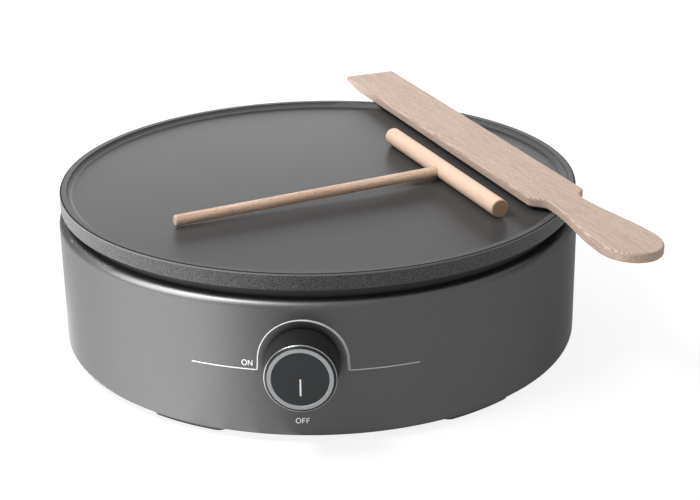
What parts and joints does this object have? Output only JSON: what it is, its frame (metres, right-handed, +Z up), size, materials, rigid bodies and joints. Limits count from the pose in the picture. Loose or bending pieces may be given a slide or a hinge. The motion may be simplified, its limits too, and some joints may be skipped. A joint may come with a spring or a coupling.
{
  "type": "electric crepe maker",
  "caption": "Round electric crepe maker: lipped cast plate on a sheet-metal drum, front control knob, rear cord inlet, with a wooden spreader and spatula lying on the plate.",
  "frame": {"origin": "where the drum's axis meets the surface that the feet stand on", "axes": "+Z up along the drum's axis; the control knob faces -Y and the cord inlet +Y"},
  "size_m": [0.3366, 0.3736, 0.1038],
  "materials": {
    "coated_plate": "dark grey non-stick coating, satin, with a sandy cast edge",
    "casing_paint": "titanium grey metallic paint, satin",
    "black_moulding": "matt black heat-resistant moulding",
    "base_sheet": "black powder coat, matt",
    "foot_rubber": "dark grey rubber, matt",
    "plated_steel": "zinc-plated sheet and screws",
    "element_sheath": "oxidised steel sheath, dull",
    "copper_tube": "drawn copper, dull",
    "brass_parts": "stamped brass",
    "ceramic": "off-white steatite and thermoset",
    "wire_sleeve": "heat-resistant sleeve",
    "knob_plastic": "dark grey moulding, fine satin",
    "knob_trim": "silver-grey, satin",
    "pointer_white": "white inlay",
    "beech_pale": "sanded beech, unvarnished",
    "beech_brown": "sanded beech dowel, unvarnished"
  },
  "bodies": {
    "housing": {"cooking_plate": "coated_plate", "heating_element": "element_sheath", "element_clamps": "plated_steel", "clamp_screws": "plated_steel", "heat_shield": "plated_steel", "neck_ring": "black_moulding", "drum_casing": "casing_paint", "base_cover": "base_sheet", "foot_front_left": "foot_rubber", "foot_front_right": "foot_rubber", "foot_back_left": "foot_rubber", "foot_back_right": "foot_rubber", "spacer_posts": "plated_steel", "tie_screws": "plated_steel", "base_screws": "plated_steel", "thermostat_body": "ceramic", "thermostat_tabs": "brass_parts", "thermostat_bracket": "plated_steel", "thermostat_screws": "plated_steel", "sensor_bulb": "copper_tube", "sensor_saddle": "plated_steel", "capillary_tube": "copper_tube", "thermal_fuse": "ceramic", "fuse_saddle": "plated_steel", "fuse_screws": "plated_steel", "terminal_block": "ceramic", "terminal_screws": "brass_parts", "terminal_fixings": "plated_steel", "earth_screw": "brass_parts", "inlet_bush": "black_moulding", "inlet_nut": "black_moulding", "wire_live": "wire_sleeve", "wire_switched": "wire_sleeve", "wire_fused": "wire_sleeve", "wire_neutral": "wire_sleeve", "wire_earth": "wire_sleeve"},
    "knob": {"control_shaft": "plated_steel", "knob_body": "knob_plastic", "knob_spring": "plated_steel", "knob_trim_ring": "knob_trim", "knob_face": "knob_plastic", "knob_pointer": "pointer_white"},
    "spreader": {"spreader_bar": "beech_pale", "spreader_handle": "beech_brown"},
    "spatula": {"spatula": "beech_pale"}
  },
  "joints": [
    {"name": "knob_turn", "type": "hinge", "parent": "housing", "child": "knob", "pos_m": [0, -0.16, 0.047], "axis": [0, 1, 0], "range_deg": [0, 270]},
    {"name": "spreader_lift", "type": "slide", "parent": "housing", "child": "spreader", "axis": [0, 0, 1], "range_m": [0, 0.12]},
    {"name": "spatula_lift", "type": "slide", "parent": "housing", "child": "spatula", "axis": [0, 0, 1], "range_m": [0, 0.12]}
  ]
}
